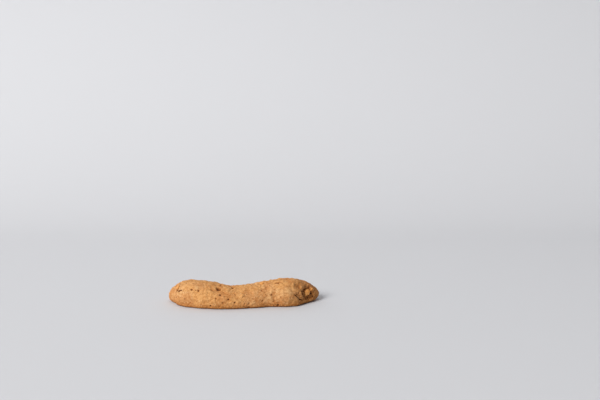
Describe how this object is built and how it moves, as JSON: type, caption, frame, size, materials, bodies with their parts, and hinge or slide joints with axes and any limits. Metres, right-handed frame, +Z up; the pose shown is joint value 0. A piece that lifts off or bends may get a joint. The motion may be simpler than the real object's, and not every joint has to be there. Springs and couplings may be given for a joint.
{
  "type": "hazelnut cookie",
  "caption": "Finger-shaped hazelnut cookie: a hand-rolled log of nut dough bent to a slight crescent, flat underneath, with chopped hazelnut in its crust.",
  "frame": {"origin": "on the surface the cookie rests on, under the middle of its bounding box", "axes": "+X along the cookie's length, towards the pinched end with the broken-open hollow; +Z up from its flat foot; -Y out of the bulging side of the bend"},
  "size_m": [0.0898, 0.029, 0.0147],
  "materials": {
    "baked_dough": "matte, sandy crust of baked nut dough, golden brown with darker pits and paler crumbs of nut"
  },
  "bodies": {
    "root": {"hazelnut_cookie": "baked_dough"}
  },
  "joints": []
}
